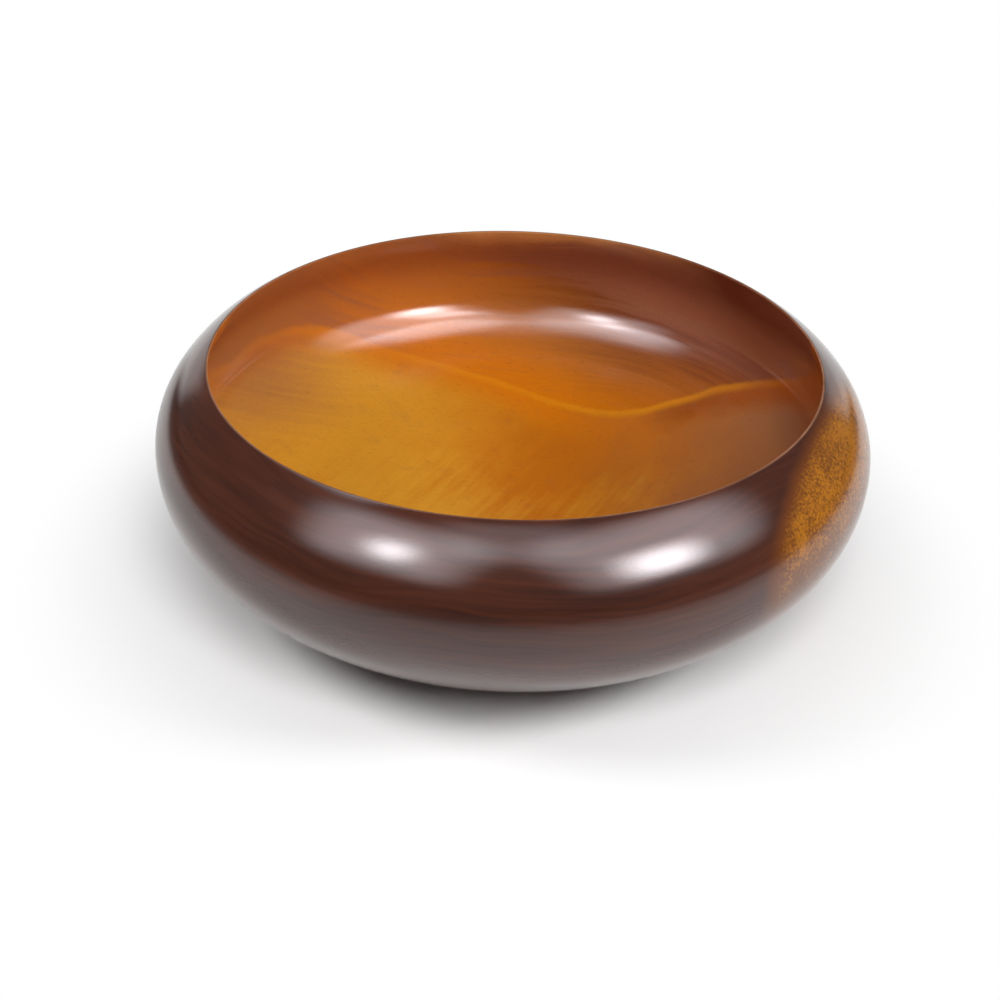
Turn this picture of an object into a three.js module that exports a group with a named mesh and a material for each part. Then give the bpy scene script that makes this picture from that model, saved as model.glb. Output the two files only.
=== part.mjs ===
// A turned wooden bowl with an incurved rim, and the felt disc glued into its foot.
// Millimetres, +Z up. The origin is on the turning axis, in the plane that the bowl rests on.

import * as THREE from "three";

// Outside of the turned wood
const BELLY_DIAMETER = 203; // the widest line
const BELLY_HEIGHT = 42.7; // the widest line above the table
const SHOULDER_RISE = 24.8; // from the widest line up to the lip
const LIP_INSET = 16.25; // from the widest line in to the lip
const SHOULDER_SLOPE = THREE.MathUtils.degToRad(29.5); // fall of the shoulder as it leaves the lip
const LIP_EASE = 1.2; // how far each side of the lip's edge is sanded back

// Inside of the turned wood
const WALL = 6.5; // at the widest line
const FLOOR_THICKNESS = 9.6; // in the middle
const UNDERCUT_LEAN = THREE.MathUtils.degToRad(18); // of the inner wall at the lip, from upright

// Foot and felt
const FOOT_DIAMETER = 105; // where the belly meets the flat of the foot
const FOOT_SLOPE = THREE.MathUtils.degToRad(11); // rise of the belly as it leaves the foot
const FOOT_RING = 8; // width of the flat around the recess
const RECESS_DEPTH = 1.2; // turned into the foot to seat the felt
const FELT_PROUD = 0.6; // how far the felt stands below the foot
const FELT_CLEARANCE = 0.5; // between the felt's edge and the recess

// Fullness of each curve at its start and its end, as the reach of the handle there over the curve's span
const BELLY_FULLNESS = [0.325, 0.382]; // from the foot to the widest line
const SHOULDER_FULLNESS = [0.407, 0.264]; // from the widest line to the lip
const UNDERCUT_FULLNESS = [0.34, 0.42]; // from the lip to the inner widest line
const HOLLOW_FULLNESS = [0.206, 0.532]; // from the inner widest line to the middle of the floor

// Fineness of the turned surfaces
const TURN_STEPS = 96;
const CURVE_STEPS = 10;

// Heights and radii that follow from the sizes above
const bellyRadius = BELLY_DIAMETER / 2;
const footRadius = FOOT_DIAMETER / 2;
const recessRadius = footRadius - FOOT_RING;
const recessTop = FELT_PROUD + RECESS_DEPTH;

// The unit step at an angle above level, outwards in a profile of radius and height.
function heading(angle) {
  return new THREE.Vector2(Math.cos(angle), Math.sin(angle));
}

const OUTWARDS = heading(0);
const UP = heading(Math.PI / 2);
const DOWN = heading(-Math.PI / 2);

// The point that lies a distance from another one along a direction.
function along(point, direction, distance) {
  return point.clone().addScaledVector(direction, distance);
}

// Draws a curve between two points. Each direction points from an end of the curve to the handle there.
function sweep(outline, start, startDirection, end, endDirection, fullness) {
  const span = start.distanceTo(end);
  const startHandle = along(start, startDirection, fullness[0] * span);
  const endHandle = along(end, endDirection, fullness[1] * span);
  outline.bezierCurveTo(startHandle.x, startHandle.y, endHandle.x, endHandle.y, end.x, end.y);
}

// Revolves a profile of radius and height about the Z axis. It starts and ends on the axis.
function turned(profile) {
  return new THREE.LatheGeometry(profile, TURN_STEPS).rotateX(Math.PI / 2);
}

function bowlBody() {
  const downShoulder = heading(-SHOULDER_SLOPE);
  const downUndercut = heading(UNDERCUT_LEAN - Math.PI / 2);
  const foot = new THREE.Vector2(footRadius, FELT_PROUD);
  const belly = new THREE.Vector2(bellyRadius, BELLY_HEIGHT);
  const lip = new THREE.Vector2(bellyRadius - LIP_INSET, BELLY_HEIGHT + SHOULDER_RISE);
  const shoulderEnd = along(lip, downShoulder, LIP_EASE);
  const undercutStart = along(lip, downUndercut, LIP_EASE);
  const innerBelly = new THREE.Vector2(bellyRadius - WALL, BELLY_HEIGHT);
  const floor = new THREE.Vector2(0, recessTop + FLOOR_THICKNESS);

  const outline = new THREE.Path();
  outline.moveTo(0, recessTop);
  outline.lineTo(recessRadius, recessTop);
  outline.lineTo(recessRadius, foot.y);
  outline.lineTo(foot.x, foot.y);
  sweep(outline, foot, heading(FOOT_SLOPE), belly, DOWN, BELLY_FULLNESS);
  sweep(outline, belly, UP, shoulderEnd, downShoulder, SHOULDER_FULLNESS);
  outline.quadraticCurveTo(lip.x, lip.y, undercutStart.x, undercutStart.y);
  sweep(outline, undercutStart, downUndercut, innerBelly, UP, UNDERCUT_FULLNESS);
  sweep(outline, innerBelly, DOWN, floor, OUTWARDS, HOLLOW_FULLNESS);

  const wood = new THREE.MeshStandardMaterial({ color: 0x5a2a17, roughness: 0.25, metalness: 0 });
  const mesh = new THREE.Mesh(turned(outline.getPoints(CURVE_STEPS)), wood);
  mesh.name = "bowl_body";
  return mesh;
}

function baseFelt() {
  const radius = recessRadius - FELT_CLEARANCE;
  const outline = new THREE.Path();
  outline.moveTo(0, 0);
  outline.lineTo(radius, 0);
  outline.lineTo(radius, recessTop);
  outline.lineTo(0, recessTop);

  const felt = new THREE.MeshStandardMaterial({ color: 0x2f4a35, roughness: 0.95, metalness: 0 });
  const mesh = new THREE.Mesh(turned(outline.getPoints()), felt);
  mesh.name = "base_felt";
  return mesh;
}

const bowl = new THREE.Group();
bowl.add(bowlBody(), baseFelt());

export default bowl;
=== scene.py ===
"""A turned wooden bowl: its polished wood, its felt base, and a pale stage to show it on.

Metres, +Z up. The origin is on the turning axis, in the plane that the bowl rests on.
"""

import math
from types import SimpleNamespace

import bpy
from bpy.props import FloatProperty, FloatVectorProperty, IntProperty, PointerProperty
from mathutils import Matrix, Vector


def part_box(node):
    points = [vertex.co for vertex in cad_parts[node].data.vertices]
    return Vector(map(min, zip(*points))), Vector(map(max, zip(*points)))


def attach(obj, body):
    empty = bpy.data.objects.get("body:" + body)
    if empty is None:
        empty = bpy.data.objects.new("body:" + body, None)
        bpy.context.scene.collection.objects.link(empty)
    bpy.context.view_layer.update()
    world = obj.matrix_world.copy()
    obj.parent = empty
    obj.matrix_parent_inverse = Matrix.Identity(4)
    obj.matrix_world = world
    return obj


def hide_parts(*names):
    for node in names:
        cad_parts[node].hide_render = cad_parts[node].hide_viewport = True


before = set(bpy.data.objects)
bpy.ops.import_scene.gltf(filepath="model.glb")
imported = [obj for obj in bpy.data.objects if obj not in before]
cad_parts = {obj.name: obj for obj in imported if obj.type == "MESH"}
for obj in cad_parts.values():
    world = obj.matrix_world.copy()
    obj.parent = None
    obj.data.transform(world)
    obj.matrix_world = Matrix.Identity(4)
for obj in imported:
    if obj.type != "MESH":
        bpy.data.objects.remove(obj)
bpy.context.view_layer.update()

bl_info = {
    "name": "Turned Wooden Bowl",
    "version": (1, 0, 0),
    "blender": (4, 5, 0),
    "location": "3D View > Sidebar > Bowl",
    "description": "Makes a polished turned bowl with a felt base, and a pale stage to show it on",
    "category": "Add Mesh",
}

MM = 0.001  # metres in a millimetre
BODY = "root"  # nothing on the bowl moves
WOOD_LOW, WOOD_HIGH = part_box("bowl_body")
FELT_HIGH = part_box("base_felt")[1]


# Settings

def length(name, description, default):
    """A setting for a size in metres."""
    return FloatProperty(name=name, description=description, default=default,
                         precision=4, subtype="DISTANCE")


def slope(name, description, degrees):
    """A setting for an angle."""
    return FloatProperty(name=name, description=description, default=math.radians(degrees),
                         subtype="ANGLE")


def share(name, description, default):
    """A setting for a part of a whole."""
    return FloatProperty(name=name, description=description, default=default, min=0.0, max=1.0,
                         precision=3, subtype="FACTOR")


def level(name, description, default):
    """A setting for a strength."""
    return FloatProperty(name=name, description=description, default=default, min=0.0)


def colour(name, description, default):
    """A setting for a colour."""
    return FloatVectorProperty(name=name, description=description, default=default, min=0.0, max=1.0,
                               subtype="COLOR")


class BowlShape(bpy.types.PropertyGroup):
    """Sizes of the turned wood."""

    belly_radius: length("Belly radius", "Radius of the widest line", WOOD_HIGH.x)
    belly_height: length("Belly height", "Height of the widest line above the table", 42.7 * MM)
    shoulder_rise: length("Shoulder rise", "From the widest line up to the lip", 24.8 * MM)
    lip_inset: length("Lip inset", "From the widest line in to the lip", 16.25 * MM)
    lip_ease: length("Lip ease", "How far each side of the lip's edge is sanded back", 1.2 * MM)
    shoulder_slope: slope("Shoulder slope", "Fall of the shoulder as it leaves the lip", 29.5)
    undercut_lean: slope("Undercut lean", "Lean of the inner wall at the lip, from upright", 18.0)
    wall: length("Wall", "Thickness of the wood at the widest line", 6.5 * MM)
    hollow_floor: length("Hollow floor", "Height of the middle of the hollow above the table", 11.4 * MM)
    foot_radius: length("Foot radius", "Where the belly meets the flat of the foot", 52.5 * MM)
    foot_height: length("Foot height", "The flat of the foot above the table", WOOD_LOW.z)
    foot_slope: slope("Foot slope", "Rise of the belly as it leaves the foot", 11.0)
    foot_ring: length("Foot ring", "Width of the flat around the recess", 8.0 * MM)
    foot_ease: length("Foot ease", "How far the edges of the foot are sanded back", 0.5 * MM)
    recess_top: length("Recess top", "Ceiling of the recess above the table", FELT_HIGH.z)
    belly_start: share("Belly start", "Fullness of the belly as it leaves the foot", 0.325)
    belly_end: share("Belly end", "Fullness of the belly under the widest line", 0.382)
    shoulder_start: share("Shoulder start", "Fullness of the shoulder over the widest line", 0.407)
    shoulder_end: share("Shoulder end", "Fullness of the shoulder at the lip", 0.264)
    undercut_start: share("Undercut start", "Fullness of the inner wall at the lip", 0.34)
    undercut_end: share("Undercut end", "Fullness of the inner wall over its widest line", 0.42)
    hollow_start: share("Hollow start", "Fullness of the hollow under its widest line", 0.206)
    hollow_end: share("Hollow end", "Fullness of the hollow at the middle of its floor", 0.532)
    unevenness: length("Unevenness", "How deep hand sanding has gone below the true form", 0.07 * MM)
    sanding_reach: length("Sanding reach", "Width of the hollows that hand sanding leaves", 24.0 * MM)
    profile_step: length("Profile step", "Length of the steps along the section", 1.5 * MM)
    turn_steps: IntProperty(name="Turn steps", description="Steps in a full turn", default=256, min=24)


class FeltShape(bpy.types.PropertyGroup):
    """Sizes of the felt disc."""

    radius: length("Radius", "Radius of the disc", FELT_HIGH.x)
    thickness: length("Thickness", "Thickness of the disc", FELT_HIGH.z)
    edge_ease: length("Edge ease", "How far the cut edge is rounded by wear", 0.5 * MM)
    unevenness: length("Unevenness", "Depth of the dents in the pressed wool", 0.12 * MM)
    sanding_reach: length("Dent width", "Width of the dents in the pressed wool", 2.2 * MM)
    profile_step: length("Profile step", "Length of the steps along the section", 0.7 * MM)
    turn_steps: IntProperty(name="Turn steps", description="Steps in a full turn", default=220, min=24)


class WoodFinish(bpy.types.PropertyGroup):
    """Colours and gloss of the polished wood."""

    heart_dark: colour("Heartwood dark", "Dark streaks of the outside", (0.033, 0.011, 0.0075))
    heart_red: colour("Heartwood red", "Red streaks of the outside", (0.092, 0.0245, 0.0115))
    border_red: colour("Border red", "Where heartwood turns to sapwood", (0.130, 0.036, 0.008))
    sap_gold: colour("Sapwood gold", "Sapwood on the bark side", (0.430, 0.155, 0.010))
    sap_fleck: colour("Sapwood fleck", "Flecks in the sapwood", (0.150, 0.046, 0.008))
    floor_gold: colour("Floor gold", "Floor of the hollow", (0.640, 0.292, 0.023))
    floor_orange: colour("Floor orange", "Warm part of the floor", (0.475, 0.136, 0.004))
    # red wood, with a painted milky reflection in its blue and green
    floor_red_and_reflection: colour("Floor red", "Floor where it climbs to the right", (0.280, 0.107, 0.040))
    ring_red: colour("Ring red", "Floor just under the growth line, at the right", (0.285, 0.064, 0.005))
    growth_yellow: colour("Growth yellow", "The bright line of the growth ring", (0.680, 0.255, 0.006))
    wall_amber: colour("Wall amber", "Wood on both sides of the growth line", (0.590, 0.165, 0.003))
    wall_brown: colour("Wall brown", "Inner wall under the dark band", (0.375, 0.124, 0.020))
    wall_tan: colour("Wall tan", "Inner wall at the left", (0.270, 0.095, 0.040))
    wall_red: colour("Wall red", "Inner wall at the right", (0.108, 0.0240, 0.0125))
    wall_dark: colour("Wall dark", "The dark band of the inner wall", (0.240, 0.094, 0.058))
    rim_brown: colour("Rim brown", "Inner wall between the dark band and the lip", (0.560, 0.270, 0.100))
    # partly worn wood, partly a painted highlight along the lip's edge
    lip_wear_and_highlight: colour("Lip wear and highlight", "Edge of the lip, thinned by handling", (0.520, 0.270, 0.165))
    roughness: share("Roughness", "Roughness of the wood under its finish", 0.42)
    gloss_roughness: share("Gloss roughness", "Roughness of the clear finish", 0.11)


class FeltFinish(bpy.types.PropertyGroup):
    """Colours of the felt."""

    wool: colour("Wool", "Pressed wool", (0.030, 0.085, 0.042))
    wool_pale: colour("Pale wool", "Paler fibres", (0.085, 0.160, 0.090))


class StageSetup(bpy.types.PropertyGroup):
    """The floor, the light and the camera."""

    floor_radius: length("Floor radius", "Radius of the floor", 20.0)
    floor_colour: colour("Floor colour", "Pale sheet under the bowl", (0.93, 0.93, 0.93))
    # the pale sheet fades in front to a floor painted dim as shade, which the gloss shows
    sheet_fade: length("Sheet fade", "Where the pale sheet starts to fade out in front", 0.11)
    sheet_front: length("Sheet front", "Where the pale sheet has faded out in front", 0.32)
    white_from: length("White from", "Where the floor starts to fade to plain white", 0.085)
    white_to: length("White to", "Where the floor is plain white", 0.15)
    room: level("Room", "Strength of the dim room around", 0.088)
    room_gloss: level("Room gloss", "Strength of the room as the gloss shows it", 0.08)
    front_lamp: level("Front lamp", "Power of the soft lamp in front, in watts", 4.5)
    left_lamp: level("Left lamp", "Power of the soft lamp at the left, in watts", 3.4)
    right_lamp: level("Right lamp", "Power of the soft lamp at the right, in watts", 3.9)
    left_card: level("Left card", "Power of the card that the gloss shows at the left, in watts", 1.96)
    right_card: level("Right card", "Power of the card that the gloss shows at the right, in watts", 4.55)
    right_spot: level("Right spot", "Power of the bright spot in front of that card, in watts", 0.21)
    top_card: level("Top card", "Power of the dim card that the gloss shows overhead, in watts", 1.6)
    mouth_card_left: level("Left mouth card", "Power of the left card over the mouth, in watts", 0.25)
    mouth_card_right: level("Right mouth card", "Power of the right card over the mouth, in watts", 0.12)
    mouth_spot: level("Mouth spot", "Power of the bright spot over the mouth, in watts", 0.093)
    lens: level("Lens", "Focal length of the camera, in millimetres", 64.8)
    camera_distance: length("Camera distance", "From the camera to its aim", 531.0 * MM)
    camera_elevation: slope("Camera elevation", "How far the camera looks down", 32.08)
    camera_roll: slope("Camera roll", "How far the camera leans", 1.59)
    aim_side: length("Aim side", "Aim of the camera along X", -3.22 * MM)
    aim_height: length("Aim height", "Aim of the camera above the table", 18.8 * MM)


class BowlSettings(bpy.types.PropertyGroup):
    """All settings of the bowl and its stage."""

    shape: PointerProperty(type=BowlShape)
    felt_shape: PointerProperty(type=FeltShape)
    wood: PointerProperty(type=WoodFinish)
    felt: PointerProperty(type=FeltFinish)
    stage: PointerProperty(type=StageSetup)


# Node trees

class Field:
    """A number in a node tree. Arithmetic with it adds the nodes that work the result out."""

    def __init__(self, tree, socket):
        self.tree = tree
        self.socket = socket

    def through(self, operation, *others):
        """The result of a Math node on this number and the others."""
        math_node = self.tree.nodes.new("ShaderNodeMath")
        math_node.operation = operation
        for socket, value in zip(math_node.inputs, (self, *others)):
            give(self.tree, socket, value)
        return Field(self.tree, math_node.outputs[0])

    def __add__(self, other):
        return self.through("ADD", other)

    __radd__ = __add__

    def __mul__(self, other):
        return self.through("MULTIPLY", other)

    __rmul__ = __mul__

    def __sub__(self, other):
        return self.through("SUBTRACT", other)

    def __rsub__(self, other):
        return self * -1.0 + other

    def __truediv__(self, other):
        return self.through("DIVIDE", other)

    def __pow__(self, other):
        return self.through("POWER", other)

    def between(self, low, high):
        """0 up to the low value, 1 from the high one, and a smooth rise from one to the other."""
        ramp = add(self.tree, "ShaderNodeMapRange", {"Value": self, 1: low, 2: high},
                   interpolation_type="SMOOTHSTEP")
        return Field(self.tree, ramp.outputs["Result"])


def give(tree, socket, value):
    """Links a value of the tree to a socket, or sets a plain value on it."""
    if isinstance(value, Field):
        value = value.socket
    if isinstance(value, bpy.types.NodeSocket):
        tree.links.new(value, socket)
    else:
        socket.default_value = value


def add(tree, kind, inputs=None, **settings):
    """Adds a node, makes its settings, and gives its inputs their values by name or number."""
    node = tree.nodes.new(kind)
    for key, value in settings.items():
        setattr(node, key, value)
    for key, value in (inputs or {}).items():
        give(tree, node.inputs[key], value)
    return node


def vector(tree, x, y, z):
    """A vector of three numbers."""
    return add(tree, "ShaderNodeCombineXYZ", {"X": x, "Y": y, "Z": z}).outputs["Vector"]


def noise(tree, place, waves, detail=2.0, roughness=0.5):
    """Soft noise about zero, with a wavelength for each of the three axes of the place."""
    steps = [axis / wave for axis, wave in zip(place, waves)]
    texture = add(tree, "ShaderNodeTexNoise", {"Vector": vector(tree, *steps), "Scale": 1.0,
                                               "Detail": detail, "Roughness": roughness})
    return Field(tree, texture.outputs["Fac"]) - 0.5


def mixed(tree, factor, first, second):
    """A colour between two others."""
    mix = add(tree, "ShaderNodeMix", data_type="RGBA")
    give(tree, mix.inputs[0], factor)
    for socket, value in ((mix.inputs[6], first), (mix.inputs[7], second)):
        give(tree, socket, value if isinstance(value, bpy.types.NodeSocket) else (*value, 1.0))
    return mix.outputs[2]


def new_material(name):
    """An empty material and its tree, with only the output node."""
    material = bpy.data.materials.new(name)
    material.use_nodes = True
    material.node_tree.nodes.clear()
    output = material.node_tree.nodes.new("ShaderNodeOutputMaterial")
    return material, material.node_tree, output.inputs["Surface"]


def millimetres(tree):
    """The place on a piece along X, Y and Z, in millimetres."""
    place = add(tree, "ShaderNodeTexCoord").outputs["Object"]
    split = add(tree, "ShaderNodeSeparateXYZ", {"Vector": place})
    return [Field(tree, part) / MM for part in split.outputs]


# Turned pieces

AXIS_LOOP = 1.0 * MM  # radius of the loop that a section is swept round
WELD = 0.01 * MM  # points closer than this become one
CURVE_FINENESS = 64  # points along a curve before it is cut into even steps
SHARP_CORNER = math.radians(40.0)  # edges that bend more than this stay crisp
CORNER_REACH = 2.0 / 3.0  # handles this far along to the tip ease a corner as a parabola
LIP_STEP = 0.25  # length of the steps round the lip, as a share of its ease
INSIDE_MARK = "inside"  # the attribute that tells the inside of a piece from its outside
OUTER = 0.0  # its value on the outside
INNER = 1.0  # its value on the inside
UP = (0.0, 1.0)
DOWN = (0.0, -1.0)
OUTWARDS = (1.0, 0.0)


def heading(angle):
    """The unit step at an angle above level, in a section of radius and height."""
    return angle.through("COSINE"), angle.through("SINE")


def along(point, direction, distance):
    """The point that lies a distance from another one along a direction."""
    return tuple(place + step * distance for place, step in zip(point, direction))


def span(start, end):
    """The distance between two points of a section."""
    across, up = (b - a for a, b in zip(start, end))
    return (across * across + up * up).through("SQRT")


class Section:
    """Half of a piece's section, drawn in radius and height and then turned about the Z axis."""

    def __init__(self, tree, step):
        self.tree = tree
        self.step = step
        self.strokes = add(tree, "GeometryNodeJoinGeometry")

    def spot(self, point):
        """A point of the section where the sweep expects it: its Y axis is laid downwards."""
        radius, height = point
        return vector(self.tree, radius - AXIS_LOOP, height * -1.0, 0.0)

    def stroke(self, start, start_handle, end_handle, end, inside):
        """Draws a curve in even steps. It remembers how far it is round to the inside of the piece."""
        curve = add(self.tree, "GeometryNodeCurvePrimitiveBezierSegment", {
            "Resolution": CURVE_FINENESS,
            "Start": self.spot(start), "Start Handle": self.spot(start_handle),
            "End Handle": self.spot(end_handle), "End": self.spot(end)})
        even = add(self.tree, "GeometryNodeResampleCurve", {"Curve": curve.outputs[0], "Length": self.step},
                   mode="LENGTH")
        marked = add(self.tree, "GeometryNodeStoreNamedAttribute", {
            "Geometry": even.outputs[0], "Name": INSIDE_MARK, "Value": inside},
            data_type="FLOAT", domain="POINT")
        self.tree.links.new(marked.outputs[0], self.strokes.inputs[0])

    def line(self, start, end, inside):
        """Draws a straight line."""
        self.stroke(start, start, end, end, inside)

    def corner(self, start, tip, end, inside):
        """Draws an eased corner whose sides would meet at the tip."""
        handles = [tuple(side + (top - side) * CORNER_REACH for side, top in zip(point, tip))
                   for point in (start, end)]
        self.stroke(start, handles[0], handles[1], end, inside)

    def sweep(self, start, start_direction, end, end_direction, fullness, inside):
        """Draws a curve. Each direction points from an end of the curve to the handle there."""
        reach = span(start, end)
        self.stroke(start, along(start, start_direction, fullness[0] * reach),
                    along(end, end_direction, fullness[1] * reach), end, inside)

    def turned(self, size, material):
        """Turns the section about the Z axis, sands the skin unevenly and gives it its material."""
        tree = self.tree
        loop = add(tree, "GeometryNodeCurvePrimitiveCircle", {
            "Resolution": size.turn_steps, "Radius": AXIS_LOOP}, mode="RADIUS")
        skin = add(tree, "GeometryNodeCurveToMesh", {"Curve": loop.outputs["Curve"],
                                                     "Profile Curve": self.strokes.outputs[0]})
        outward = add(tree, "GeometryNodeFlipFaces", {"Mesh": skin.outputs[0]})
        closed = add(tree, "GeometryNodeMergeByDistance", {
            "Geometry": outward.outputs[0], "Distance": WELD})
        place = add(tree, "ShaderNodeSeparateXYZ", {0: add(tree, "GeometryNodeInputPosition").outputs[0]})
        axes = [Field(tree, part) for part in place.outputs]
        hollows = noise(tree, axes, waves=[size.sanding_reach] * 3, detail=1.0) + 0.5
        depth = hollows * size.unevenness * -1.0
        inwards = add(tree, "ShaderNodeVectorMath", {0: add(tree, "GeometryNodeInputNormal").outputs[0],
                                                     "Scale": depth}, operation="SCALE")
        sanded = add(tree, "GeometryNodeSetPosition", {"Geometry": closed.outputs[0],
                                                       "Offset": inwards.outputs[0]})
        smooth = add(tree, "GeometryNodeSetShadeSmooth", {"Geometry": sanded.outputs[0]}, domain="FACE")
        bend = Field(tree, add(tree, "GeometryNodeInputMeshEdgeAngle").outputs["Unsigned Angle"])
        crisp = add(tree, "GeometryNodeSetShadeSmooth", {
            "Geometry": smooth.outputs[0], "Selection": bend.through("GREATER_THAN", SHARP_CORNER),
            "Shade Smooth": False}, domain="EDGE")
        real = add(tree, "GeometryNodeRealizeInstances", {"Geometry": crisp.outputs[0]})
        dressed = add(tree, "GeometryNodeSetMaterial", {"Geometry": real.outputs[0], "Material": material})
        output = add(tree, "NodeGroupOutput")
        tree.links.new(dressed.outputs[0], output.inputs[0])


def new_tree(name, settings):
    """A Geometry Nodes tree with one named input for each setting, and those inputs as numbers."""
    tree = bpy.data.node_groups.new(name, "GeometryNodeTree")
    tree.is_modifier = True
    tree.interface.new_socket("Geometry", in_out="OUTPUT", socket_type="NodeSocketGeometry")
    for key in settings.__annotations__:
        whole = isinstance(getattr(settings, key), int)
        tree.interface.new_socket(settings.bl_rna.properties[key].name, in_out="INPUT",
                                  socket_type="NodeSocketInt" if whole else "NodeSocketFloat")
    entry = add(tree, "NodeGroupInput")
    sizes = {key: Field(tree, socket) for key, socket in zip(settings.__annotations__, entry.outputs)}
    return tree, SimpleNamespace(**sizes)


def made_by(tree, settings, name):
    """A plain mesh object with what a tree makes of the settings."""
    piece = bpy.data.objects.new(name, bpy.data.meshes.new(name))
    bpy.context.scene.collection.objects.link(piece)
    maker = piece.modifiers.new(name, "NODES")
    maker.node_group = tree
    sockets = [item for item in tree.interface.items_tree if item.in_out == "INPUT"]
    for key, socket in zip(settings.__annotations__, sockets):
        maker[socket.identifier] = getattr(settings, key)
    evaluated = piece.evaluated_get(bpy.context.evaluated_depsgraph_get())
    mesh = bpy.data.meshes.new_from_object(evaluated)
    piece.modifiers.remove(maker)
    empty, piece.data = piece.data, mesh
    bpy.data.meshes.remove(empty)
    mesh.name = name
    if not mesh.polygons:
        raise RuntimeError(f"{name} came out empty")
    return piece


def draw_bowl(tree, size, material):
    """Draws the bowl's section, from the recess under the foot round to the middle of the hollow."""
    recess_radius = size.foot_radius - size.foot_ring
    up_belly = heading(size.foot_slope)
    down_shoulder = heading(size.shoulder_slope * -1.0)
    down_undercut = heading(size.undercut_lean - math.pi / 2.0)
    recess_middle = (0.0, size.recess_top)
    recess_corner = (recess_radius, size.recess_top)
    ring_edge = (recess_radius, size.foot_height)
    foot_edge = (size.foot_radius, size.foot_height)
    belly = (size.belly_radius, size.belly_height)
    lip = (size.belly_radius - size.lip_inset, size.belly_height + size.shoulder_rise)
    inner_belly = (size.belly_radius - size.wall, size.belly_height)
    hollow_middle = (0.0, size.hollow_floor)

    ring_start = along(ring_edge, UP, size.foot_ease)
    ring_end = along(ring_edge, OUTWARDS, size.foot_ease)
    foot_start = along(foot_edge, OUTWARDS, size.foot_ease * -1.0)
    foot_end = along(foot_edge, up_belly, size.foot_ease)
    shoulder_top = along(lip, down_shoulder, size.lip_ease)
    undercut_top = along(lip, down_undercut, size.lip_ease)
    round_lip = Field(tree, add(tree, "GeometryNodeSplineParameter").outputs["Factor"])

    section = Section(tree, size.profile_step)
    section.line(recess_middle, recess_corner, OUTER)
    section.line(recess_corner, ring_start, OUTER)
    section.corner(ring_start, ring_edge, ring_end, OUTER)
    section.line(ring_end, foot_start, OUTER)
    section.corner(foot_start, foot_edge, foot_end, OUTER)
    section.sweep(foot_end, up_belly, belly, DOWN, (size.belly_start, size.belly_end), OUTER)
    section.sweep(belly, UP, shoulder_top, down_shoulder, (size.shoulder_start, size.shoulder_end), OUTER)
    section.step = size.lip_ease * LIP_STEP
    section.corner(shoulder_top, lip, undercut_top, round_lip)
    section.step = size.profile_step
    section.sweep(undercut_top, down_undercut, inner_belly, UP,
                  (size.undercut_start, size.undercut_end), INNER)
    section.sweep(inner_belly, DOWN, hollow_middle, OUTWARDS, (size.hollow_start, size.hollow_end), INNER)
    section.turned(size, material)


def draw_felt(tree, size, material):
    """Draws the felt disc's section, from the middle of its underside round to the middle of its top."""
    low_edge = (size.radius, 0.0)
    top_edge = (size.radius, size.thickness)
    low_start = along(low_edge, OUTWARDS, size.edge_ease * -1.0)
    low_end = along(low_edge, UP, size.edge_ease)
    section = Section(tree, size.profile_step)
    section.line((0.0, 0.0), low_start, OUTER)
    section.corner(low_start, low_edge, low_end, OUTER)
    section.line(low_end, top_edge, OUTER)
    section.line(top_edge, (0.0, size.thickness), INNER)
    section.turned(size, material)


# Polished wood, with lengths in millimetres

BARK_SIDE = math.radians(-19.3)  # azimuth of the side of the block that lay under the bark
SAPWOOD_DEPTH = 87.5  # from the turning axis to the sapwood on that side
LAYER_TILT = math.radians(42.2)  # lean of the growth layers of the hollow towards the back
# Points of the growth line: X, and the height along the tilted axis of the layers
GROWTH_LINE = ((-100.0, 40.0), (-88.0, 55.0), (-77.0, 69.0), (-61.5, 76.0), (-42.5, 72.5), (-4.5, 62.5),
               (15.5, 54.8), (34.0, 51.2), (52.5, 55.0), (70.0, 59.0), (87.5, 56.2), (100.0, 47.0))
CURVE_REACH = 100.0  # those points lie between this and its opposite along X, and under it in height
BAND_HEIGHT = 102.8  # height of the dark band of the inner wall, along the same axis
BAND_BEND = -10.0  # where along X the dark band starts to fall
BAND_DROP = 21300.0  # it falls by the cube of the way past the bend, divided by this
FIGURE_COURSE = math.radians(62.0)  # azimuth of the streaks in the front of the floor


def drawn_curve(tree, value, points):
    """The height of a smooth curve through points, at a value along X."""
    width = CURVE_REACH * 2.0
    node = add(tree, "ShaderNodeFloatCurve", {"Value": (value + CURVE_REACH) / width})
    drawn = node.mapping.curves[0].points
    while len(drawn) < len(points):
        drawn.new(0.5, 0.5)
    for knot, (x, y) in zip(drawn, points):
        knot.location = ((x + CURVE_REACH) / width, y / CURVE_REACH)
        knot.handle_type = "AUTO"
    node.mapping.update()
    return Field(tree, node.outputs["Value"]) * CURVE_REACH


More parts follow.
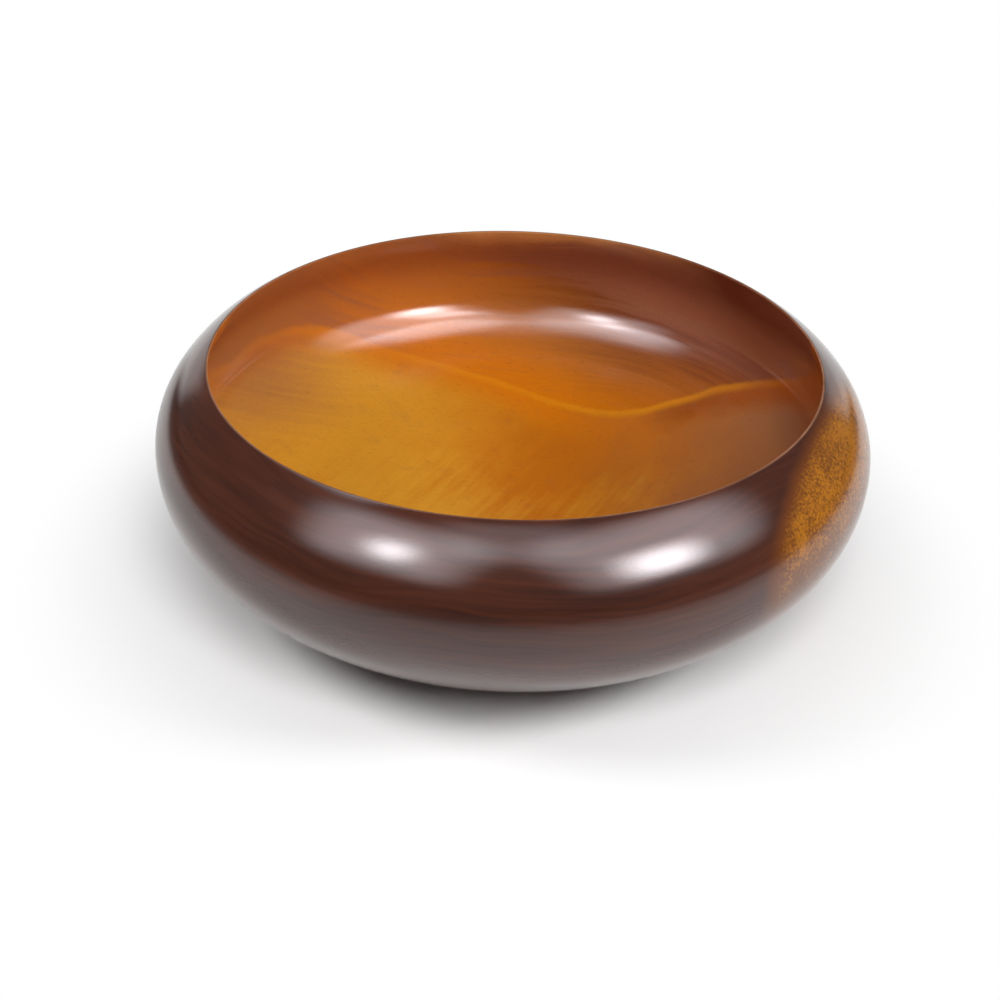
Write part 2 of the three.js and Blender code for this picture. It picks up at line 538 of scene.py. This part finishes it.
def outside_colour(tree, finish, x, y, z):
    """Dark heartwood in level streaks, and flecked sapwood on the bark side, darkened towards the bottom by
    painted shade.
    """
    sway = noise(tree, (x, y, z), waves=(70.0, 70.0, 45.0))
    layer = z + sway * 14.0
    streaks = noise(tree, (x, y, layer), waves=(30.0, 30.0, 1.2), detail=2.5)
    bands = noise(tree, (x, y, layer), waves=(80.0, 80.0, 9.0), detail=3.0)
    redness = (streaks * 0.9 + bands * 1.1 + 0.5).between(0.0, 1.0)
    heart = mixed(tree, redness, finish.heart_dark, finish.heart_red)

    wander = noise(tree, (x, y, z), waves=(24.0, 24.0, 24.0), detail=4.0)
    depth = x * math.cos(BARK_SIDE) + y * math.sin(BARK_SIDE) - SAPWOOD_DEPTH + wander * 3.5
    flecks = noise(tree, (x, y, z), waves=(1.0, 0.8, 0.8), detail=3.0, roughness=0.7)
    clouds = noise(tree, (x, y, z), waves=(8.0, 8.0, 8.0), detail=3.0)
    # the term in z is painted shade: the sapwood turns towards its fleck colour low on the belly
    paleness = flecks * 1.25 + clouds * 0.5 + z.between(58.0, 24.0) * -0.45 + 0.05
    sap = mixed(tree, paleness.between(-0.2, 0.24), finish.sap_fleck, finish.sap_gold)
    border = mixed(tree, depth.between(-2.6, 0.8), heart, finish.border_red)
    return mixed(tree, (depth + flecks * 3.0).between(-0.2, 3.8), border, sap)


def inside_colour(tree, finish, x, y, z):
    """A golden floor under a bright growth line, and a brown wall with a dark band over it."""
    height = y * math.sin(LAYER_TILT) + z * math.cos(LAYER_TILT)
    tremble = noise(tree, (x, y, z), waves=(9.0, 9.0, 9.0), detail=3.0)
    over_line = height - drawn_curve(tree, x, GROWTH_LINE) + tremble * 1.3

    # The wall: amber over the line, brown above it, red at the right, tan at the left, and a dark band
    band = (x - BAND_BEND).through("MAXIMUM", 0.0) ** 3.0 / -BAND_DROP + BAND_HEIGHT
    under_band = band - height + noise(tree, (x, y, z), waves=(40.0, 40.0, 25.0)) * 5.0
    grain = noise(tree, (x, under_band, z), waves=(34.0, 1.6, 60.0), detail=4.0, roughness=0.55)
    wall = mixed(tree, (over_line + grain * 12.0).between(0.0, 36.0), finish.wall_amber, finish.wall_brown)
    wall = mixed(tree, (x + over_line + grain * 26.0).between(23.0, 92.0), wall, finish.wall_red)
    wall = mixed(tree, (x + grain * 40.0).between(-25.0, -70.0) * 0.85, wall, finish.wall_tan)
    upper_left = under_band.between(16.0, 0.0) * x.between(-6.0, -40.0)
    wall = mixed(tree, upper_left * 0.55, wall, finish.wall_tan)
    widening = x.between(0.0, 60.0)
    near_band = (under_band + grain * 12.0).between(widening * 14.0 + 6.0, widening * 6.0 + 1.0)
    near_band = near_band * (under_band + grain * 4.0).between(-4.2, -0.6)
    darkness = near_band * x.between(-45.0, 12.0) * (x.between(85.0, 40.0) * 0.6 + 0.3)
    wall = mixed(tree, darkness, wall, finish.wall_dark)
    over_band = (under_band + grain * 4.0).between(-0.6, -4.6)
    wall = mixed(tree, over_band * x.between(64.0, 30.0), wall, finish.rim_brown)
    wall = mixed(tree, grain.between(-0.02, -0.22) * 0.22, wall, finish.wall_dark)

    # The floor: gold at the left, orange and then red to the right, with streaks in front. The red holds a
    # painted milky reflection
    clouds = noise(tree, (x, y, z), waves=(30.0, 30.0, 30.0), detail=4.0, roughness=0.55)
    across = x * math.sin(FIGURE_COURSE) - y * math.cos(FIGURE_COURSE)
    lengthways = x * math.cos(FIGURE_COURSE) + y * math.sin(FIGURE_COURSE)
    figure = noise(tree, (across, lengthways, z), waves=(3.2, 30.0, 30.0), detail=3.0, roughness=0.6)
    figure = figure * y.between(48.0, 18.0)
    front_right = x.between(8.0, 40.0) * y.between(36.0, 6.0)
    warmth = clouds + figure + x.between(-50.0, 32.0) * 0.85 + front_right * -0.3 + 0.1
    gold = mixed(tree, warmth.between(0.0, 1.0), finish.floor_gold, finish.floor_orange)
    amber_depth = x.between(-10.0, 40.0) * 16.0 + 14.0
    off_line = (over_line * -1.0 + clouds * 12.0).between(0.0, amber_depth)
    floor = mixed(tree, off_line, finish.wall_amber, gold)
    # the red to the right carries a painted reflection as well as the wood's red
    floor = mixed(tree, (x + clouds * 40.0).between(12.0, 88.0), floor, finish.floor_red_and_reflection)
    under_line = (over_line * -1.0 + tremble * 8.0).between(13.0, 5.0)
    floor = mixed(tree, under_line * x.between(36.0, 58.0) * 0.9, floor, finish.ring_red)
    floor = mixed(tree, x.between(77.0, 93.0) * 0.6, floor, finish.wall_red)
    leftward = x + grain * 20.0 + y.between(50.0, 15.0) * 24.0
    floor = mixed(tree, leftward.between(-42.0, -86.0) * 0.75, floor, finish.wall_tan)
    # blotches of the same red, painted reflection included
    blotches = noise(tree, (x, y, z), waves=(7.0, 7.0, 7.0), detail=5.0, roughness=0.6)
    floor = mixed(tree, blotches.between(0.03, 0.3) * 0.25, floor, finish.floor_red_and_reflection)

    # The growth line: thin and bright, and fainter at both ends
    line = over_line.between(-3.2, -0.4) * over_line.between(1.2, -0.4)
    bright = x.between(5.0, 20.0) * 0.25 + x.between(-50.0, -30.0) * 0.35
    bright = bright * x.between(88.0, 50.0) + x.between(-30.0, -62.0) * 0.06
    strength = bright + noise(tree, (x, y, z), waves=(20.0, 20.0, 20.0)) * 0.5 + 0.1
    wood = mixed(tree, over_line.between(-1.2, 1.2), floor, wall)
    return mixed(tree, line * strength, wood, finish.growth_yellow)


def wood_material(finish):
    """Polished wood under a clear gloss. The mark of the inside tells the hollow from the outside."""
    material, tree, surface = new_material("turned_wood")
    x, y, z = millimetres(tree)
    inside = Field(tree, add(tree, "ShaderNodeAttribute", attribute_name=INSIDE_MARK).outputs["Fac"])
    outer = outside_colour(tree, finish, x, y, z)
    inner = inside_colour(tree, finish, x, y, z)
    wood = mixed(tree, inside.between(0.35, 0.65), outer, inner)

    # The lip: its finish is thin there and under it. Its edge is pale wear plus a painted highlight, most
    # at the sides
    on_lip = inside * (1.0 - inside) * 4.0
    finish_depth = (1.0 - inside * z.between(48.0, 57.0) * 0.8) * (1.0 - on_lip ** 0.4 * 0.95)
    patchy = noise(tree, (x, y, z), waves=(7.0, 7.0, 7.0), detail=3.0) * 0.8 + 0.55
    at_sides = x.through("ABSOLUTE").between(45.0, 80.0) * 0.65 + 0.25
    wood = mixed(tree, on_lip * patchy * at_sides, wood, finish.lip_wear_and_highlight)

    # Pores, smears and the fine ripple of the finish
    pores = noise(tree, (x, y, z), waves=(2.4, 0.5, 0.5), detail=3.0, roughness=0.65)
    wood = mixed(tree, pores.between(-0.05, -0.22) * 0.25, wood, finish.heart_dark)
    smears = noise(tree, (x, y, z), waves=(30.0, 30.0, 30.0), detail=3.0)
    sheen = pores * 0.10 + smears * 0.10 + finish.roughness
    ripple = noise(tree, (x, y, z), waves=(0.9, 0.9, 0.9))
    bump = add(tree, "ShaderNodeBump", {
        "Strength": 0.05, "Distance": 0.2 * MM, "Height": ripple + pores * 0.2})
    shader = add(tree, "ShaderNodeBsdfPrincipled", {
        "Base Color": wood, "Roughness": sheen, "Specular IOR Level": 0.03, "Normal": bump.outputs[0],
        "Coat Weight": finish_depth, "Coat Roughness": finish.gloss_roughness, "Coat IOR": 1.6,
        "Coat Normal": bump.outputs[0]})
    give(tree, surface, shader.outputs[0])
    return material


def felt_material(finish):
    """Pressed wool, with fibres that lie every way."""
    material, tree, surface = new_material("felt")
    x, y, z = millimetres(tree)
    courses = (((x, y, z), (0.35, 2.4, 0.6)),
               ((x, y, z), (2.4, 0.35, 0.6)),
               ((x + y, x - y, z), (0.5, 3.0, 0.6)))
    fibres = [noise(tree, place, waves, detail=3.0, roughness=0.7) for place, waves in courses]
    wool = fibres[0] + fibres[1] + fibres[2]
    shade = mixed(tree, wool.between(-0.35, 0.45), finish.wool, finish.wool_pale)
    bump = add(tree, "ShaderNodeBump", {"Strength": 0.5, "Distance": 0.3 * MM, "Height": wool})
    shader = add(tree, "ShaderNodeBsdfPrincipled", {
        "Base Color": shade, "Roughness": 0.95, "Specular IOR Level": 0.1, "Sheen Weight": 0.3,
        "Normal": bump.outputs[0]})
    give(tree, surface, shader.outputs[0])
    return material


# Stage

FLOOR_SIDES = 96  # corners of the round floor
# painted shade: the floor past the pale sheet is dark, so the gloss shows shade there
PAINTED_SHADE_FLOOR = (0.10, 0.10, 0.10)  # colour of the floor past the pale sheet
SHEET_SHIFT = 120.0  # how far back the middle of the pale sheet lies, in millimetres
CARD_TINT = (0.98, 0.95, 1.0)  # colour of the cards that the gloss shows
CARD_FADE = 0.32  # width of a card's soft edges, as a share of the card
MIDDLE_CORE = (0.5, 0.5, 0.3, 0.3)  # a core in the middle of its card
TABLE_MIDDLE = (0.0, 0.0, 0.0)  # where the turning axis meets the table
FRONT = -90.0  # azimuth of the front, in degrees
CAMERA_REACH = 100.0  # how far the camera sees, in metres
BACKDROP_SIDES = (0.70, 0.80)  # cosines of the angles off +Y between which the white backdrop ends
BACKDROP_TOP = (0.35, 0.12)  # sines of the elevations between which it ends
BACKDROP_LEVEL = 0.8  # how bright the gloss shows it


def seen_or_mirrored(tree):
    """Which rays look straight at a surface, and which see it in a gloss or through glass."""
    path = add(tree, "ShaderNodeLightPath").outputs
    seen = Field(tree, path["Is Camera Ray"])
    mirrored = Field(tree, path["Is Glossy Ray"]).through("MAXIMUM", path["Is Transmission Ray"])
    return seen, mirrored


def floor_material(setup):
    """A pale sheet that takes the bowl's shadow. Past it the floor is painted dim as shade, but looks plain
    white.
    """
    material, tree, surface = new_material("pale_sheet")
    x, y, z = millimetres(tree)
    tooth = noise(tree, (x, y, z), waves=(3.0, 3.0, 1.0), detail=3.0)
    bump = add(tree, "ShaderNodeBump", {"Strength": 0.1, "Distance": 0.2 * MM, "Height": tooth})
    distance = (x * x + y * y).through("SQRT") * MM
    # the sheet fades to the painted shade of the dim floor in front
    from_back = (x * x + (y - SHEET_SHIFT) * (y - SHEET_SHIFT)).through("SQRT") - SHEET_SHIFT
    paper_and_shade = mixed(tree, (from_back * MM).between(setup.sheet_fade, setup.sheet_front),
                  setup.floor_colour, PAINTED_SHADE_FLOOR)
    sheet = add(tree, "ShaderNodeBsdfPrincipled", {
        "Base Color": paper_and_shade, "Roughness": 0.9, "Specular IOR Level": 0.0, "Normal": bump.outputs[0]})
    white = add(tree, "ShaderNodeEmission", {"Strength": 1.0})
    seen, mirrored = seen_or_mirrored(tree)
    behind = (y * MM / distance).between(*BACKDROP_SIDES)
    plain = distance.between(setup.white_from, setup.white_to) * (seen + mirrored * behind)
    mix = add(tree, "ShaderNodeMixShader", {0: plain, 1: sheet.outputs[0], 2: white.outputs[0]})
    give(tree, surface, mix.outputs[0])
    return material


def make_floor(setup):
    """A flat round floor."""
    bpy.ops.mesh.primitive_circle_add(vertices=FLOOR_SIDES, radius=setup.floor_radius, fill_type="NGON")
    floor = bpy.context.object
    floor.name = "studio_floor"
    floor.data.materials.append(floor_material(setup))


def make_room(setup):
    """A dim room that looks plain white. The gloss shows that white as a low backdrop behind the bowl."""
    world = bpy.data.worlds.new("dim_room")
    world.use_nodes = True
    tree = world.node_tree
    tree.nodes.clear()
    sky = add(tree, "ShaderNodeSeparateXYZ", {0: add(tree, "ShaderNodeTexCoord").outputs["Generated"]})
    x, y, z = (Field(tree, part) for part in sky.outputs)
    behind = (y / (x * x + y * y).through("SQRT")).between(*BACKDROP_SIDES)
    seen, mirrored = seen_or_mirrored(tree)
    white = seen + mirrored * behind * z.between(*BACKDROP_TOP) * BACKDROP_LEVEL
    dim = mirrored * (setup.room_gloss - setup.room) + setup.room
    background = add(tree, "ShaderNodeBackground", {
        "Color": (1.0, 1.0, 1.0, 1.0), "Strength": dim.through("MAXIMUM", white)})
    output = add(tree, "ShaderNodeOutputWorld")
    tree.links.new(background.outputs[0], output.inputs["Surface"])
    bpy.context.scene.world = world


def direction(azimuth, elevation):
    """The unit step at an azimuth from +X and an elevation, in degrees."""
    a, e = math.radians(azimuth), math.radians(elevation)
    return Vector((math.cos(a) * math.cos(e), math.sin(a) * math.cos(e), math.sin(e)))


def place_lamp(name, lamp, azimuth, elevation, distance, aim=TABLE_MIDDLE):
    """Places a lamp so that it faces its aim in the bowl. The camera doesn't see it."""
    light = bpy.data.objects.new(name, lamp)
    bpy.context.scene.collection.objects.link(light)
    away = direction(azimuth, elevation)
    light.location = Vector(aim) + away * distance
    light.rotation_euler = away.to_track_quat("Z", "Y").to_euler()
    light.visible_camera = False
    return light


def make_lamp(name, power, azimuth, elevation, distance, size):
    """A round soft lamp that lights the bowl. It stays out of the gloss, which has cards of its own."""
    lamp = bpy.data.lights.new(name, "AREA")
    lamp.shape = "DISK"
    lamp.size = size
    lamp.energy = power
    place_lamp(name, lamp, azimuth, elevation, distance).visible_glossy = False


def make_card(name, power, azimuth, elevation, distance, size, core=MIDDLE_CORE, core_gain=0.0,
              aim=TABLE_MIDDLE):
    """A bright card with soft edges, which shows only in the gloss.

    Its brighter core is given by its place across and up and by its width and height, in shares of
    the card.
    """
    lamp = bpy.data.lights.new(name, "AREA")
    lamp.shape = "RECTANGLE"
    lamp.size, lamp.size_y = size
    lamp.energy = power
    lamp.use_nodes = True
    tree = lamp.node_tree
    tree.nodes.clear()
    place = add(tree, "ShaderNodeNewGeometry").outputs["Parametric"]
    split = add(tree, "ShaderNodeSeparateXYZ", {0: place})
    across, up = (Field(tree, part) for part in (split.outputs["X"], split.outputs["Y"]))
    edge = 1.0
    for part in (across, up):
        edge = part.between(0.0, CARD_FADE) * part.between(1.0, 1.0 - CARD_FADE) * edge
    core_across, core_up, core_width, core_height = core
    off_core = ((across - core_across) / core_width) ** 2.0 + ((up - core_up) / core_height) ** 2.0
    glow = (off_core * -1.0).through("EXPONENT") * core_gain + edge
    emission = add(tree, "ShaderNodeEmission", {"Color": (*CARD_TINT, 1.0), "Strength": glow})
    output = add(tree, "ShaderNodeOutputLight")
    tree.links.new(emission.outputs[0], output.inputs["Surface"])
    place_lamp(name, lamp, azimuth, elevation, distance, aim).visible_diffuse = False


def make_camera(setup):
    """A camera in front of the bowl that looks along +Y and down."""
    lens = bpy.data.cameras.new("camera")
    lens.lens = setup.lens
    lens.clip_end = CAMERA_REACH
    camera = bpy.data.objects.new("camera", lens)
    bpy.context.scene.collection.objects.link(camera)
    aim = Vector((setup.aim_side, 0.0, setup.aim_height))
    back = direction(FRONT, math.degrees(setup.camera_elevation))
    tilt = Matrix.Rotation(math.pi / 2.0 - setup.camera_elevation, 4, "X")
    roll = Matrix.Rotation(setup.camera_roll, 4, "Z")
    camera.matrix_world = Matrix.Translation(aim + back * setup.camera_distance) @ tilt @ roll
    bpy.context.scene.camera = camera


# Operators

class BOWL_OT_turn_body(bpy.types.Operator):
    """Turn the wooden body of the bowl and polish it"""

    bl_idname = "wooden_bowl.turn_body"
    bl_label = "Turn Body"

    def execute(self, context):
        settings = context.scene.wooden_bowl
        tree, size = new_tree("turned_bowl", settings.shape)
        draw_bowl(tree, size, wood_material(settings.wood))
        body = made_by(tree, settings.shape, "bowl_wood")
        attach(body, BODY)
        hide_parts("bowl_body")
        return {"FINISHED"}


class BOWL_OT_lay_felt(bpy.types.Operator):
    """Lay the felt disc into the recess of the foot"""

    bl_idname = "wooden_bowl.lay_felt"
    bl_label = "Lay Felt"

    def execute(self, context):
        settings = context.scene.wooden_bowl
        tree, size = new_tree("felt_disc", settings.felt_shape)
        draw_felt(tree, size, felt_material(settings.felt))
        felt = made_by(tree, settings.felt_shape, "felt_disc")
        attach(felt, BODY)
        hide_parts("base_felt")
        return {"FINISHED"}


class BOWL_OT_set_stage(bpy.types.Operator):
    """Set the floor, the light and the camera"""

    bl_idname = "wooden_bowl.set_stage"
    bl_label = "Set Stage"

    def execute(self, context):
        setup = context.scene.wooden_bowl.stage
        make_floor(setup)
        make_room(setup)
        make_lamp("front_lamp", setup.front_lamp, azimuth=-80.0, elevation=49.0, distance=0.9, size=0.44)
        make_lamp("left_lamp", setup.left_lamp, azimuth=-171.0, elevation=42.0, distance=0.9, size=0.36)
        make_lamp("right_lamp", setup.right_lamp, azimuth=-14.0, elevation=34.0, distance=0.9, size=0.28)
        make_card("left_card", setup.left_card, azimuth=-128.2, elevation=43.7, distance=0.4525,
                  size=(0.47, 0.408), core=(0.52, 0.45, 0.095, 0.13), core_gain=5.0)
        make_card("right_card", setup.right_card, azimuth=-40.6, elevation=43.8, distance=0.5485,
                  size=(0.74, 0.605))
        make_card("right_spot", setup.right_spot, azimuth=-48.8, elevation=33.8, distance=0.3055,
                  size=(0.147, 0.113), core_gain=4.0)
        make_card("top_card", setup.top_card, azimuth=FRONT, elevation=63.0, distance=0.9,
                  size=(0.60, 0.74))
        make_card("mouth_card_left", setup.mouth_card_left, azimuth=-147.0, elevation=75.0, distance=0.176,
                  size=(0.118, 0.14), core=(0.63, 0.38, 0.11, 0.12), core_gain=2.0,
                  aim=(-0.024, 0.017, 0.0))
        make_card("mouth_card_right", setup.mouth_card_right, azimuth=-20.0, elevation=80.0,
                  distance=0.1726, size=(0.105, 0.066), aim=(0.0065, 0.0277, 0.0))
        make_card("mouth_spot", setup.mouth_spot, azimuth=-31.9, elevation=66.2, distance=0.1312,
                  size=(0.05, 0.07))
        make_camera(setup)
        context.scene.view_settings.view_transform = "Standard"
        return {"FINISHED"}


class BOWL_PT_panel(bpy.types.Panel):
    """Settings and steps of the bowl"""

    bl_idname = "BOWL_PT_panel"
    bl_label = "Wooden Bowl"
    bl_space_type = "VIEW_3D"
    bl_region_type = "UI"
    bl_category = "Bowl"

    def draw(self, context):
        settings = context.scene.wooden_bowl
        for operator, groups in ((BOWL_OT_turn_body, (settings.shape, settings.wood)),
                                 (BOWL_OT_lay_felt, (settings.felt_shape, settings.felt)),
                                 (BOWL_OT_set_stage, (settings.stage,))):
            box = self.layout.box()
            box.operator(operator.bl_idname)
            for group in groups:
                for key in group.__annotations__:
                    box.prop(group, key)


CLASSES = (BowlShape, FeltShape, WoodFinish, FeltFinish, StageSetup, BowlSettings,
           BOWL_OT_turn_body, BOWL_OT_lay_felt, BOWL_OT_set_stage, BOWL_PT_panel)


def register():
    """Adds the settings, the operators and the panel."""
    for cls in CLASSES:
        bpy.utils.register_class(cls)
    bpy.types.Scene.wooden_bowl = PointerProperty(type=BowlSettings)


def unregister():
    """Takes them away again."""
    del bpy.types.Scene.wooden_bowl
    for cls in reversed(CLASSES):
        bpy.utils.unregister_class(cls)


def main():
    """Makes the bowl and its stage."""
    register()
    bpy.ops.wooden_bowl.turn_body()
    bpy.ops.wooden_bowl.lay_felt()
    bpy.ops.wooden_bowl.set_stage()


if __name__ == "__main__":
    main()
